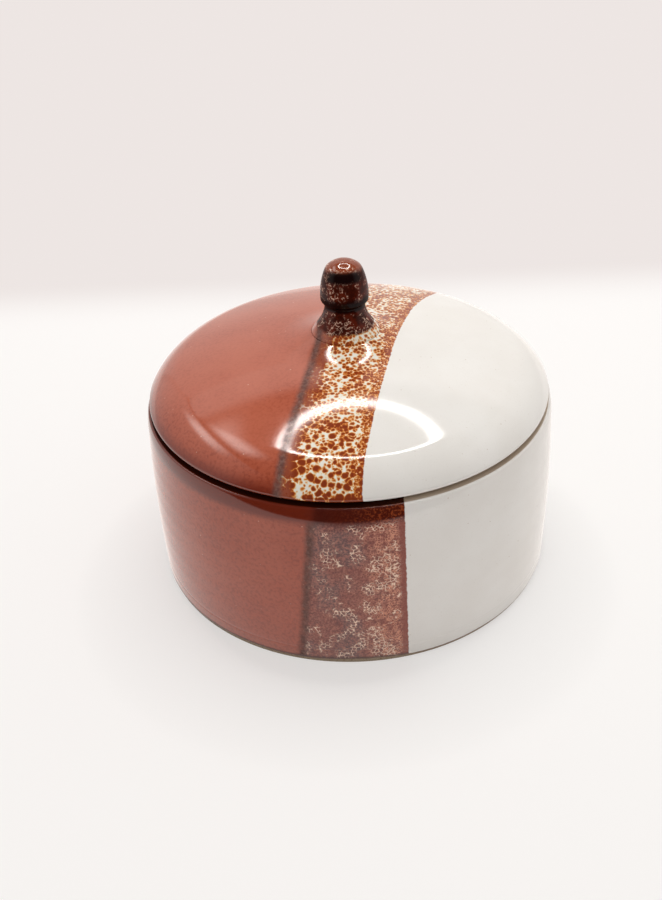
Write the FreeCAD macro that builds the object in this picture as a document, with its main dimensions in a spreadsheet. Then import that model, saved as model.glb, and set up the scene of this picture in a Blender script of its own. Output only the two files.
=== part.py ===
import FreeCAD, Part
import math
import os
from collections import namedtuple
from enum import IntEnum

import Sketcher
from FreeCAD import Vector

# A lidded stoneware pot, turned on a wheel: pot, lift-off lid and knob, each a half section turned about Z.
# Millimetres, +Z up, origin at the centre of the foot, on the surface that the pot stands on.

SIZES = [
    # Pot: the wall, its rim and its foot
    ("rim_height", 85.0, "top of the rim, which the lid sits on"),
    ("wall_radius", 95.0, "outside of the wall, just under the shoulder"),
    ("wall_flare", 0.3, "how far the wall's foot stands out from there"),
    ("wall_bow_radius", 760.0, "radius of the wall's slight belly, seen from the side"),
    ("wall_thickness", 6.5, "thickness of the wall"),
    ("shoulder_length", 6.0, "height over which the wall turns in to the rim"),
    ("rim_inset", 1.0, "how far the rim's outer edge stands in from the wall"),
    ("rim_width", 7.6, "width of the rim's flat top"),
    ("rim_edge_radius", 0.9, "rounding of the rim's outer edge"),
    ("mouth_edge_radius", 1.0, "rounding of the rim's inner edge"),
    ("bevel_height", 1.2, "height of the bevel at the foot"),
    ("bevel_width", 0.5, "width of the bevel at the foot"),
    ("foot_width", 9.0, "width of the turned foot ring"),
    ("recess_depth", 2.0, "depth of the turned recess inside the foot ring"),
    ("foot_edge_radius", 0.6, "rounding of the foot ring's inner edge"),
    ("floor_thickness", 6.0, "thickness of the floor over the recess"),
    ("floor_corner_radius", 10.0, "rounding between the floor and the wall"),
    # Lid: the edge, the dome, the boss for the knob and the ring that finds the mouth
    ("lid_inset", 1.0, "how far the lid's edge stands in from the rim's edge"),
    ("lid_edge_height", 3.56, "height of the lid's edge above the rim, where it is widest"),
    ("lid_edge_radius", 1.9, "rounding under the lid's edge"),
    ("lid_shoulder_radius", 2.0, "tight round of the dome next to its edge"),
    ("seat_width", 4.0, "width of the lid's flat seat, outward from the locating ring"),
    ("haunch_width", 15.05, "how far in from the lid's edge the crown begins"),
    ("haunch_height", 16.5, "height above the rim at which the crown begins"),
    ("crown_height", 29.0, "height of the crown above the rim, as if it had no boss"),
    ("lid_thickness", 5.5, "thickness of the dome"),
    ("boss_margin", 1.4, "how far the boss stands out round the knob's collar"),
    ("boss_rise", 2.4, "height of the boss above the crown"),
    ("boss_sweep_radius", 70.0, "hollow sweep from the crown up to the boss"),
    ("boss_edge_radius", 1.0, "rounding of the boss's edge"),
    ("ring_clearance", 1.2, "gap all round between the locating ring and the mouth"),
    ("ring_thickness", 4.5, "thickness of the locating ring"),
    ("ring_depth", 9.0, "how far the locating ring drops below the rim"),
    ("ring_edge_radius", 1.5, "rounding of the locating ring's lower edges"),
    ("ring_root_radius", 3.0, "rounding where the ring runs into the dome, inside"),
    # Knob: collar, neck, groove and bell
    ("neck_radius", 9.1, "the knob's waist, over the collar"),
    ("neck_height", 11.6, "height of the waist above the boss"),
    ("collar_width", 5.5, "how far the collar flares out from the waist"),
    ("collar_lip_radius", 1.5, "rounded edge of the collar"),
    ("bell_overhang", 1.7, "how far the bell's foot stands out over the waist"),
    ("groove_height", 1.4, "height of the groove between the waist and the bell's foot"),
    ("bell_length", 18.2, "height of the bell's side"),
    ("bell_bulge_radius", 32.0, "radius of the bell's swelling side"),
    ("crest_radius", 8.0, "the bell's radius at the top of its side"),
    ("crest_rise", 3.3, "height of the rounded top above the bell's side"),
    ("groove_radius", 0.7, "rounding in the groove"),
    ("bell_lip_radius", 1.0, "rounding of the bell's foot"),
    ("crest_edge_radius", 4.0, "rounding between the bell's side and its top"),
]

# Sizes that two pieces share, each written once from the driving sizes
RIM_RADIUS = "Sizes.wall_radius - Sizes.rim_inset"
MOUTH_RADIUS = f"{RIM_RADIUS} - Sizes.rim_width"
SHOULDER_HEIGHT = "Sizes.rim_height - Sizes.shoulder_length"
COLLAR_RADIUS = "Sizes.neck_radius + Sizes.collar_width"
BOSS_HEIGHT = "Sizes.crown_height + Sizes.boss_rise"

# One edge of a section: its index in the sketch, and which of its points come first and last on the way round
Edge = namedtuple("Edge", "index first last")


class Axis(IntEnum):
    """The body's X and Z axes, by their indices in a sketch."""

    X = -1
    Z = -2


class Point(IntEnum):
    """The points of an edge, by their indices in a sketch."""

    START = 1
    END = 2
    CENTRE = 3


def make_sizes(document):
    sheet = document.addObject("Spreadsheet::Sheet", "Sizes")
    for row, (name, value, meaning) in enumerate(SIZES, start=1):
        sheet.set(f"A{row}", name)
        sheet.set(f"B{row}", str(value))
        sheet.set(f"C{row}", meaning)
        sheet.setAlias(f"B{row}", name)
    document.recompute()


def make_body(document, name):
    body = document.addObject("PartDesign::Body", name)
    body.Label = name
    return body


class Section:
    """A closed half section in a body's XZ plane: across is the radius, up is the height."""

    def __init__(self, body, name):
        self.body = body
        self.sketch = body.newObject("Sketcher::SketchObject", name)
        plane = next(f for f in body.Origin.OriginFeatures if f.Role == "XZ_Plane")
        self.sketch.AttachmentSupport = [(plane, "")]
        self.sketch.MapMode = "FlatFace"

    def size(self, expression):
        return float(self.sketch.evalExpression(expression))

    def point(self, across, up):
        return Vector(self.size(across), self.size(up), 0)

    def line(self, first, last):
        index = self.sketch.addGeometry(Part.LineSegment(first, last), False)
        return Edge(index, Point.START, Point.END)

    def arc(self, centre, first, last, turn):
        """An arc from first to last that turns left or right. A sketch keeps every arc anticlockwise."""
        ends = (first, last) if turn == "left" else (last, first)
        angles = [math.atan2(end.y - centre.y, end.x - centre.x) for end in ends]
        circle = Part.Circle(centre, Vector(0, 0, 1), (first - centre).Length)
        index = self.sketch.addGeometry(Part.ArcOfCircle(circle, *angles), False)
        return Edge(index, Point.START, Point.END) if turn == "left" else Edge(index, Point.END, Point.START)

    def constrain(self, kind, *where):
        self.sketch.addConstraint(Sketcher.Constraint(kind, *where))

    def bind(self, expression, kind, *where):
        """Adds a constraint whose value follows the sizes."""
        index = self.sketch.addConstraint(Sketcher.Constraint(kind, *where, self.size(expression)))
        self.sketch.setExpression(f"Constraints[{index}]", expression)

    def across(self, index, end, expression):
        self.bind(expression, "DistanceX", Axis.X, Point.START, index, end)

    def up(self, index, end, expression):
        self.bind(expression, "DistanceY", Axis.X, Point.START, index, end)

    def radius(self, edge, expression):
        self.bind(expression, "Radius", edge.index)

    def on_axis(self, index, end):
        self.constrain("PointOnObject", index, end, Axis.Z)

    def corner(self, edge, following):
        self.constrain("Coincident", edge.index, edge.last, following.index, following.first)

    def smooth(self, edge, following):
        self.constrain("Tangent", edge.index, edge.last, following.index, following.first)

    def revolve(self, name):
        turned = self.body.newObject("PartDesign::Revolution", name)
        turned.Profile = self.sketch
        turned.ReferenceAxis = (self.sketch, ["V_Axis"])
        turned.Angle = 360
        self.body.Document.recompute()
        return turned


def round_edges(body, base, name, radius_size, *rings):
    """Rounds the circular edges of base that have the given (radius, height) pairs."""
    names = []
    for number, edge in enumerate(base.Shape.Edges, start=1):
        if edge.Degenerated or not isinstance(edge.Curve, Part.Circle):
            continue
        for radius, height in rings:
            found = math.isclose(edge.Curve.Radius, radius, abs_tol=1e-4)
            if found and math.isclose(edge.Curve.Center.z, height, abs_tol=1e-4):
                names.append(f"Edge{number}")
    if len(names) != len(rings):
        raise RuntimeError(f"{name}: {len(names)} edges found for {len(rings)} rings")
    fillet = body.newObject("PartDesign::Fillet", name)
    fillet.Base = (base, names)
    fillet.setExpression("Radius", radius_size)
    body.Document.recompute()
    return fillet


def circle_meet(centre_a, radius_a, centre_b, radius_b):
    """The point to the right of the line of centres where two circles meet."""
    apart = centre_b - centre_a
    along = (radius_a**2 - radius_b**2 + apart.Length**2) / (2 * apart.Length)
    aside = math.sqrt(radius_a**2 - along**2)
    unit = apart / apart.Length
    return centre_a + unit * along + Vector(unit.y, -unit.x, 0) * aside


def toward(start, target, distance):
    return start + (target - start).normalize() * distance


def on_circle(centre, radius, height):
    """The point of a circle at a height, on the side away from the axis."""
    return Vector(centre.x + math.sqrt(radius**2 - (height - centre.y) ** 2), height, 0)


def bow_centre(first, last, radius):
    """The centre, to the left of the way from first to last, of the arc through both."""
    chord = last - first
    sink = math.sqrt(radius**2 - chord.Length**2 / 4)
    return (first + last) / 2 + Vector(-chord.y, chord.x, 0).normalize() * sink


def smooth_centre(start, target, last):
    """The centre of the arc from start to last that has its centre on the way from start to target."""
    inward = (target - start).normalize()
    chord = last - start
    return start + inward * (chord.Length**2 / (2 * chord.dot(inward)))


def make_pot_body(document):
    body = make_body(document, "pot_body")
    section = Section(body, "pot_section")
    point = section.point

    wall_foot = "Sizes.wall_radius + Sizes.wall_flare"
    foot_outside = f"{wall_foot} - Sizes.bevel_width"
    foot_inside = f"{foot_outside} - Sizes.foot_width"
    cavity_bow = "Sizes.wall_bow_radius - Sizes.wall_thickness"
    floor_height = "Sizes.recess_depth + Sizes.floor_thickness"

    # Corners of the section, from the middle of the underside, out, up and back down inside
    recess_middle = point("0", "Sizes.recess_depth")
    recess_edge = point(foot_inside, "Sizes.recess_depth")
    foot_inner = point(foot_inside, "0")
    foot_outer = point(foot_outside, "0")
    bevel_top = point(wall_foot, "Sizes.bevel_height")
    wall_top = point("Sizes.wall_radius", SHOULDER_HEIGHT)
    rim_outer = point(RIM_RADIUS, "Sizes.rim_height")
    rim_inner = point(MOUTH_RADIUS, "Sizes.rim_height")
    floor_middle = point("0", floor_height)

    # The wall bows out a little, and the cavity's side has the same centre, one thickness in
    bow = bow_centre(bevel_top, wall_top, section.size("Sizes.wall_bow_radius"))
    cavity_radius = section.size(cavity_bow)
    cavity_top = on_circle(bow, cavity_radius, wall_top.y)
    shoulder_centre = smooth_centre(wall_top, bow, rim_outer)
    cavity_shoulder_centre = smooth_centre(cavity_top, bow, rim_inner)

    # The round between the cavity's side and its floor touches both
    corner_radius = section.size("Sizes.floor_corner_radius")
    corner_centre = on_circle(bow, cavity_radius - corner_radius, floor_middle.y + corner_radius)
    corner_start = toward(bow, corner_centre, cavity_radius)
    corner_end = corner_centre - Vector(0, corner_radius, 0)

    recess = section.line(recess_middle, recess_edge)
    recess_wall = section.line(recess_edge, foot_inner)
    foot = section.line(foot_inner, foot_outer)
    bevel = section.line(foot_outer, bevel_top)
    wall = section.arc(bow, bevel_top, wall_top, "left")
    shoulder = section.arc(shoulder_centre, wall_top, rim_outer, "left")
    rim = section.line(rim_outer, rim_inner)
    cavity_shoulder = section.arc(cavity_shoulder_centre, rim_inner, cavity_top, "right")
    cavity_wall = section.arc(bow, cavity_top, corner_start, "right")
    floor_corner = section.arc(corner_centre, corner_start, corner_end, "right")
    floor = section.line(corner_end, floor_middle)
    axis = section.line(floor_middle, recess_middle)

    section.on_axis(recess.index, recess.first)
    section.up(recess.index, recess.first, "Sizes.recess_depth")
    section.corner(recess, recess_wall)
    section.across(recess_wall.index, recess_wall.first, foot_inside)
    section.up(recess_wall.index, recess_wall.first, "Sizes.recess_depth")
    section.corner(recess_wall, foot)
    section.across(foot.index, foot.first, foot_inside)
    section.constrain("PointOnObject", foot.index, foot.first, Axis.X)
    section.corner(foot, bevel)
    section.across(bevel.index, bevel.first, foot_outside)
    section.constrain("PointOnObject", bevel.index, bevel.first, Axis.X)
    section.corner(bevel, wall)
    section.across(wall.index, wall.first, wall_foot)
    section.up(wall.index, wall.first, "Sizes.bevel_height")
    section.radius(wall, "Sizes.wall_bow_radius")
    section.smooth(wall, shoulder)
    section.across(wall.index, wall.last, "Sizes.wall_radius")
    section.up(wall.index, wall.last, SHOULDER_HEIGHT)
    section.corner(shoulder, rim)
    section.across(rim.index, rim.first, RIM_RADIUS)
    section.up(rim.index, rim.first, "Sizes.rim_height")
    section.corner(rim, cavity_shoulder)
    section.across(rim.index, rim.last, MOUTH_RADIUS)
    section.up(rim.index, rim.last, "Sizes.rim_height")
    section.smooth(cavity_shoulder, cavity_wall)
    section.up(cavity_wall.index, cavity_wall.first, SHOULDER_HEIGHT)
    section.radius(cavity_wall, cavity_bow)
    section.constrain("Coincident", cavity_wall.index, Point.CENTRE, wall.index, Point.CENTRE)
    section.smooth(cavity_wall, floor_corner)
    section.radius(floor_corner, "Sizes.floor_corner_radius")
    section.smooth(floor_corner, floor)
    section.constrain("Horizontal", floor.index)
    section.corner(floor, axis)
    section.on_axis(floor.index, floor.last)
    section.up(floor.index, floor.last, floor_height)
    section.corner(axis, recess)

    turned = section.revolve("pot_turned")
    rim_rounded = round_edges(body, turned, "rim_rounding", "Sizes.rim_edge_radius", (rim_outer.x, rim_outer.y))
    mouth_rounded = round_edges(
        body, rim_rounded, "mouth_rounding", "Sizes.mouth_edge_radius", (rim_inner.x, rim_inner.y)
    )
    round_edges(body, mouth_rounded, "foot_rounding", "Sizes.foot_edge_radius", (foot_inner.x, 0))
    return body


def make_lid(document):
    """The lid's own zero height is the plane of its seat, which its placement sets on the rim."""
    body = make_body(document, "lid")
    section = Section(body, "lid_section")
    point = section.point

    lid_radius = f"{RIM_RADIUS} - Sizes.lid_inset"
    crown_edge = f"{lid_radius} - Sizes.haunch_width"
    boss_radius = f"{COLLAR_RADIUS} + Sizes.boss_margin"
    ring_outside = f"{MOUTH_RADIUS} - Sizes.ring_clearance"
    seat_radius = f"{ring_outside} + Sizes.seat_width"
    ring_inside = f"{ring_outside} - Sizes.ring_thickness"

    boss_middle = point("0", BOSS_HEIGHT)
    boss_edge = point(boss_radius, BOSS_HEIGHT)
    crown_start = point(crown_edge, "Sizes.haunch_height")
    apex = point("0", "Sizes.crown_height")
    side = point(lid_radius, "Sizes.lid_edge_height")
    seat_outer = point(seat_radius, "0")
    seat_inner = point(ring_outside, "0")
    ring_outer = point(ring_outside, "-Sizes.ring_depth")
    ring_inner = point(ring_inside, "-Sizes.ring_depth")

    # The crown: centred on the axis, through its apex and its edge
    rise = apex.y - crown_start.y
    crown_radius = (crown_start.x**2 + rise**2) / (2 * rise)
    crown_centre = Vector(0, apex.y - crown_radius, 0)

    # The tight shoulder: upright where it meets the lid's edge
    shoulder_radius = section.size("Sizes.lid_shoulder_radius")
    shoulder_centre = side - Vector(shoulder_radius, 0, 0)

    # The haunch: the one arc that leaves the crown smoothly and runs smoothly into the shoulder
    inward = (crown_centre - crown_start).normalize()
    offset = crown_start - shoulder_centre
    haunch_radius = (shoulder_radius**2 - offset.Length**2) / (2 * (offset.dot(inward) + shoulder_radius))
    haunch_centre = crown_start + inward * haunch_radius
    shoulder_top = toward(haunch_centre, shoulder_centre, haunch_radius)

    # Under the edge: a round, and from it a straight slope down to the seat, where the two touch
    edge_radius = section.size("Sizes.lid_edge_radius")
    edge_centre = side - Vector(edge_radius, 0, 0)
    reach = edge_centre - seat_outer
    slope = math.atan2(reach.y, reach.x) - math.asin(edge_radius / reach.Length)
    edge_end = edge_centre + Vector(math.sin(slope), -math.cos(slope), 0) * edge_radius

    # The hollow sweep: outside the crown, and up to the boss's edge
    sweep_radius = section.size("Sizes.boss_sweep_radius")
    sweep_centre = circle_meet(crown_centre, crown_radius + sweep_radius, boss_edge, sweep_radius)
    sweep_foot = toward(crown_centre, sweep_centre, crown_radius)

    # The inside of the dome: the same centres, one thickness in
    thickness = section.size("Sizes.lid_thickness")
    inner_crown_radius = crown_radius - thickness
    inner_haunch_radius = haunch_radius - thickness
    inner_apex = Vector(0, apex.y - thickness, 0)
    inner_crown_edge = toward(crown_centre, crown_start, inner_crown_radius)
    ring_reach = ring_inner.x - haunch_centre.x
    ring_root_height = haunch_centre.y + math.sqrt(inner_haunch_radius**2 - ring_reach**2)
    ring_root = Vector(ring_inner.x, ring_root_height, 0)

    boss = section.line(boss_middle, boss_edge)
    sweep = section.arc(sweep_centre, boss_edge, sweep_foot, "left")
    crown = section.arc(crown_centre, sweep_foot, crown_start, "right")
    haunch = section.arc(haunch_centre, crown_start, shoulder_top, "right")
    shoulder = section.arc(shoulder_centre, shoulder_top, side, "right")
    edge = section.arc(edge_centre, side, edge_end, "right")
    underside = section.line(edge_end, seat_outer)
    seat = section.line(seat_outer, seat_inner)
    ring_wall = section.line(seat_inner, ring_outer)
    ring_foot = section.line(ring_outer, ring_inner)
    ring_inner_wall = section.line(ring_inner, ring_root)
    inner_haunch = section.arc(haunch_centre, ring_root, inner_crown_edge, "left")
    inner_crown = section.arc(crown_centre, inner_crown_edge, inner_apex, "left")
    axis = section.line(inner_apex, boss_middle)

    section.on_axis(boss.index, boss.first)
    section.up(boss.index, boss.first, BOSS_HEIGHT)
    section.corner(boss, sweep)
    section.across(boss.index, boss.last, boss_radius)
    section.up(boss.index, boss.last, BOSS_HEIGHT)
    section.radius(sweep, "Sizes.boss_sweep_radius")
    section.smooth(sweep, crown)
    section.on_axis(crown.index, Point.CENTRE)
    section.smooth(crown, haunch)
    section.across(crown.index, crown.last, crown_edge)
    section.up(crown.index, crown.last, "Sizes.haunch_height")
    section.smooth(haunch, shoulder)
    section.radius(shoulder, "Sizes.lid_shoulder_radius")
    section.smooth(shoulder, edge)
    section.across(edge.index, edge.first, lid_radius)
    section.up(edge.index, edge.first, "Sizes.lid_edge_height")
    section.up(edge.index, Point.CENTRE, "Sizes.lid_edge_height")
    section.radius(edge, "Sizes.lid_edge_radius")
    section.smooth(edge, underside)
    section.corner(underside, seat)
    section.across(seat.index, seat.first, seat_radius)
    section.constrain("PointOnObject", seat.index, seat.first, Axis.X)
    section.corner(seat, ring_wall)
    section.across(ring_wall.index, ring_wall.first, ring_outside)
    section.constrain("PointOnObject", ring_wall.index, ring_wall.first, Axis.X)
    section.corner(ring_wall, ring_foot)
    section.across(ring_foot.index, ring_foot.first, ring_outside)
    section.up(ring_foot.index, ring_foot.first, "-Sizes.ring_depth")
    section.corner(ring_foot, ring_inner_wall)
    section.across(ring_foot.index, ring_foot.last, ring_inside)
    section.up(ring_foot.index, ring_foot.last, "-Sizes.ring_depth")
    section.constrain("Vertical", ring_inner_wall.index)
    section.corner(ring_inner_wall, inner_haunch)
    section.constrain("Coincident", inner_haunch.index, Point.CENTRE, haunch.index, Point.CENTRE)
    section.smooth(inner_haunch, inner_crown)
    section.constrain("Coincident", inner_crown.index, Point.CENTRE, crown.index, Point.CENTRE)
    section.on_axis(inner_crown.index, inner_crown.last)
    section.up(inner_crown.index, inner_crown.last, "Sizes.crown_height - Sizes.lid_thickness")
    section.corner(inner_crown, axis)
    section.corner(axis, boss)

    # The crown's height, held by a point on its circle over the axis
    apex_point = section.sketch.addGeometry(Part.Point(apex), True)
    section.constrain("PointOnObject", apex_point, Point.START, crown.index)
    section.on_axis(apex_point, Point.START)
    section.up(apex_point, Point.START, "Sizes.crown_height")

    turned = section.revolve("lid_turned")
    boss_rounded = round_edges(body, turned, "boss_rounding", "Sizes.boss_edge_radius", (boss_edge.x, boss_edge.y))
    ring_rounded = round_edges(
        body,
        boss_rounded,
        "ring_rounding",
        "Sizes.ring_edge_radius",
        (ring_outer.x, ring_outer.y),
        (ring_inner.x, ring_inner.y),
    )
    round_edges(body, ring_rounded, "ring_root_rounding", "Sizes.ring_root_radius", (ring_root.x, ring_root.y))
    body.setExpression("Placement.Base.z", "Sizes.rim_height")
    return body


def make_knob(document):
    """The knob's own zero height is the top of the lid's boss, which its placement sets it on."""
    body = make_body(document, "knob")
    section = Section(body, "knob_section")
    point = section.point

    collar_foot_radius = f"{COLLAR_RADIUS} - Sizes.collar_lip_radius"
    bell_foot_radius = "Sizes.neck_radius + Sizes.bell_overhang"
    bell_foot_height = "Sizes.neck_height + Sizes.groove_height"
    crest_height = f"{bell_foot_height} + Sizes.bell_length"
    knob_height = f"{crest_height} + Sizes.crest_rise"

    foot_middle = point("0", "0")
    collar_foot = point(collar_foot_radius, "0")
    neck = point("Sizes.neck_radius", "Sizes.neck_height")
    bell_foot = point(bell_foot_radius, bell_foot_height)
    crest = point("Sizes.crest_radius", crest_height)
    top = point("0", knob_height)

    # The collar's lip, and the hollow that runs from it up to the waist
    lip_radius = section.size("Sizes.collar_lip_radius")
    lip_centre = collar_foot + Vector(0, lip_radius, 0)
    flare = lip_centre.x - neck.x
    climb = neck.y - lip_centre.y
    hollow_radius = (flare**2 + climb**2 - lip_radius**2) / (2 * (flare + lip_radius))
    hollow_centre = neck + Vector(hollow_radius, 0, 0)
    lip_end = toward(lip_centre, hollow_centre, lip_radius)

    # The bell's swelling side, and its round top centred on the axis
    bulge_centre = bow_centre(bell_foot, crest, section.size("Sizes.bell_bulge_radius"))
    crest_rise = top.y - crest.y
    top_radius = (crest.x**2 + crest_rise**2) / (2 * crest_rise)
    top_centre = top - Vector(0, top_radius, 0)

    foot = section.line(foot_middle, collar_foot)
    lip = section.arc(lip_centre, collar_foot, lip_end, "left")
    hollow = section.arc(hollow_centre, lip_end, neck, "right")
    groove = section.line(neck, bell_foot)
    bell = section.arc(bulge_centre, bell_foot, crest, "left")
    cap = section.arc(top_centre, crest, top, "left")
    axis = section.line(top, foot_middle)

    section.constrain("Coincident", foot.index, foot.first, Axis.X, Point.START)
    section.smooth(foot, lip)
    section.across(foot.index, foot.last, collar_foot_radius)
    section.constrain("PointOnObject", foot.index, foot.last, Axis.X)
    section.radius(lip, "Sizes.collar_lip_radius")
    section.smooth(lip, hollow)
    section.up(hollow.index, Point.CENTRE, "Sizes.neck_height")
    section.corner(hollow, groove)
    section.across(groove.index, groove.first, "Sizes.neck_radius")
    section.up(groove.index, groove.first, "Sizes.neck_height")
    section.corner(groove, bell)
    section.across(groove.index, groove.last, bell_foot_radius)
    section.up(groove.index, groove.last, bell_foot_height)
    section.radius(bell, "Sizes.bell_bulge_radius")
    section.corner(bell, cap)
    section.across(cap.index, cap.first, "Sizes.crest_radius")
    section.up(cap.index, cap.first, crest_height)
    section.on_axis(cap.index, Point.CENTRE)
    section.on_axis(cap.index, cap.last)
    section.up(cap.index, cap.last, knob_height)
    section.corner(cap, axis)
    section.corner(axis, foot)

    turned = section.revolve("knob_turned")
    crest_rounded = round_edges(body, turned, "crest_rounding", "Sizes.crest_edge_radius", (crest.x, crest.y))
    lip_rounded = round_edges(
        body, crest_rounded, "bell_rounding", "Sizes.bell_lip_radius", (bell_foot.x, bell_foot.y)
    )
    round_edges(body, lip_rounded, "groove_rounding", "Sizes.groove_radius", (neck.x, neck.y))
    body.setExpression("Placement.Base.z", f"Sizes.rim_height + {BOSS_HEIGHT}")
    return body


def check(document, bodies):
    for item in document.Objects:
        if "Invalid" in item.State or "Error" in item.State:
            raise RuntimeError(f"{item.Label} did not rebuild: {item.State}")
    for body in bodies:
        if body.Shape.isNull() or not body.Shape.isValid():
            raise RuntimeError(f"{body.Label} has no valid shape")


def write(bodies):
    os.makedirs("parts", exist_ok=True)
    for body in bodies:
        body.Shape.exportStep(f"parts/{body.Label}.step")
        box = body.Shape.optimalBoundingBox()
        print(f"{body.Label}: {body.Shape.Volume / 1000:.1f} cm3, {box.ZMin:.2f} to {box.ZMax:.2f} mm high")


def main():
    document = FreeCAD.newDocument("lidded_pot")
    make_sizes(document)
    bodies = [make_pot_body(document), make_lid(document), make_knob(document)]
    document.recompute()
    check(document, bodies)
    write(bodies)


main()
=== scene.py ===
import math
from collections import namedtuple

import bmesh
import bpy
from mathutils import Matrix, Vector


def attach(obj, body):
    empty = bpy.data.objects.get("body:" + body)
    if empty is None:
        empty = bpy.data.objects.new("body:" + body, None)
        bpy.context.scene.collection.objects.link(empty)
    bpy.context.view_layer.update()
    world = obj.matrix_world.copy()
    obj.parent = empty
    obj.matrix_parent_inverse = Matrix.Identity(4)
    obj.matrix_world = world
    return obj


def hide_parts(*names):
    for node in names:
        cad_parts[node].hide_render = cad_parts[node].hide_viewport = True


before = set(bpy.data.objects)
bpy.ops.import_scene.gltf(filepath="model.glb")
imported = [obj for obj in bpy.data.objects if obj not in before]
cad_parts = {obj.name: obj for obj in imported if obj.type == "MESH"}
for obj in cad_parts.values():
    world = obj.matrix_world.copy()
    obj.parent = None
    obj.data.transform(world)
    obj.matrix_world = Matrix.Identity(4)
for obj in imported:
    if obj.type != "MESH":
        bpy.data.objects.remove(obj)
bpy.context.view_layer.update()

# The looks of a lidded stoneware pot: red glaze on one side, white on the other, and a speckled
# band between them where the two overlap. Sizes are in millimetres and become metres in at().

MM = 0.001
TURN_STEPS = 192

# The pot, as it is turned in the frame
RIM_HEIGHT = 85.0
WALL_RADIUS = 95.0
WALL_FLARE = 0.3
WALL_BOW = 760.0
WALL_THICKNESS = 6.5
SHOULDER_LENGTH = 6.0
RIM_INSET = 1.0
RIM_WIDTH = 7.6
RIM_EDGE = 0.9
MOUTH_EDGE = 1.0
BEVEL_HEIGHT = 1.2
BEVEL_WIDTH = 0.5
FOOT_WIDTH = 9.0
FOOT_EDGE = 0.6
RECESS_DEPTH = 2.0
FLOOR_THICKNESS = 6.0
FLOOR_CORNER = 10.0
FINE_STEPS_HEIGHT = 9.0

# The end of the glaze over the foot: its height, its rise where it lies double, its bead, the clay
# cut back below it, and a groove turned in the wall
GLAZE_END = 1.6
GLAZE_END_RISE = 0.6
GLAZE_BEAD = 0.12
CLAY_CUT = 0.30
TURNED_GROOVE = 0.10
TURNED_GROOVE_HEIGHT = 7.6
DEEP_IN_GLAZE = 20.0
DEEP_IN_CLAY = -5.0

# The lid, from its seat on the rim
LID_INSET = 1.0
LID_EDGE_HEIGHT = 3.56
LID_EDGE = 1.9
LID_SHOULDER = 2.0
SEAT_WIDTH = 4.0
HAUNCH_WIDTH = 15.05
HAUNCH_HEIGHT = 16.5
CROWN_HEIGHT = 29.0
LID_THICKNESS = 5.5
BOSS_MARGIN = 1.4
BOSS_RISE = 2.4
BOSS_SWEEP = 70.0
BOSS_BEVEL = 0.2
RING_CLEARANCE = 1.2
RING_THICKNESS = 4.5
RING_DEPTH = 9.0
RING_EDGE = 1.5
RING_ROOT = 3.0
RING_ROOT_REACH = 2.1
RING_ROOT_RISE = 1.3

# The knob, from the top of the lid's boss
NECK_RADIUS = 9.1
NECK_HEIGHT = 14.2
COLLAR_WIDTH = 5.5
COLLAR_LIP = 1.5
BELL_OVERHANG = 1.7
GROOVE_HEIGHT = 1.4
GROOVE_ROUND = 0.7
BELL_LENGTH = 15.6
BELL_BULGE = 32.0
BELL_LIP = 1.0
CREST_RADIUS = 8.0
CREST_RISE = 3.3
CREST_EDGE = 4.0
SLIP_WIDTH = 1.2

RIM_RADIUS = WALL_RADIUS - RIM_INSET
MOUTH_RADIUS = RIM_RADIUS - RIM_WIDTH
LID_RADIUS = RIM_RADIUS - LID_INSET
COLLAR_RADIUS = NECK_RADIUS + COLLAR_WIDTH
BOSS_RADIUS = COLLAR_RADIUS + BOSS_MARGIN
APEX = RIM_HEIGHT + CROWN_HEIGHT
BOSS_TOP = APEX + BOSS_RISE
CROWN_EDGE = Vector((LID_RADIUS - HAUNCH_WIDTH, RIM_HEIGHT + HAUNCH_HEIGHT))
CROWN_ROUND = (CROWN_EDGE.x**2 + (APEX - CROWN_EDGE.y) ** 2) / (2 * (APEX - CROWN_EDGE.y))

# Where one glaze ends on a piece: an upright cut through it, turned from the Y axis by an angle in
# radians, at a distance from the centre at a given height, leaning by so much for each millimetre
# of height, and bowed at the back
Edge = namedtuple("Edge", "turn offset height lean bow")
LID_RED_EDGE = Edge(turn=-0.225, offset=-10.0, height=104.5, lean=0.0, bow=0.0)
LID_WHITE_EDGE = Edge(turn=-0.243, offset=24.4, height=104.5, lean=-0.12, bow=0.00245)
POT_RED_EDGE = Edge(turn=0.0, offset=-21.2, height=43.0, lean=0.10, bow=0.0)
POT_WHITE_EDGE = Edge(turn=0.0, offset=21.6, height=43.0, lean=-0.018, bow=0.0)

# Where a finish comes in or goes out: the first and the last height on the piece
RED_LIGHTER_RISE = (92, 103)
# The painted shade on the lid's lower edge lies between the next two ranges
LID_LIP_SHADE_FOOT = (86.5, 87.0)
LID_LIP_SHADE_TOP = (88.8, 94.5)
LID_SPOTS_FALL = (88.5, 91.5)
LID_UNDERSIDE = (86.2, 87.2)
LID_SEAT = (85.1, 85.4)
# The next range is where the painted dark band under the rim comes in
SHOULDER_SHADE_RISE = (75.5, 79.5)
LACE_FALL = (75, 79)
RIM_RISE = (84.2, 84.9)
INSIDE_RISE = (6.0, 6.2)
INSIDE_FALL = (84.0, 84.8)
KNOB_COLLAR_FALL = (119.2, 120.6)
# The painted shade in the knob's neck and the painted dark reflection under its crest lie in the
# next four ranges
KNOB_NECK_SHADE_RISE = (128.0, 129.8)
KNOB_NECK_SHADE_FALL = (133.5, 137.0)
KNOB_DARK_REFLECTION_RISE = (142.0, 144.5)
KNOB_DARK_REFLECTION_FALL = (147.0, 148.8)
KNOB_CREST_RISE = (146.0, 148.5)
KNOB_FLECKS_RISE = (133.5, 136.5)
KNOB_FLECKS_FALL = (127.6, 129.0)

# The same from front to back, and outwards from the middle
LID_FRONT_SPOTS = (-76, -40)
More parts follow.
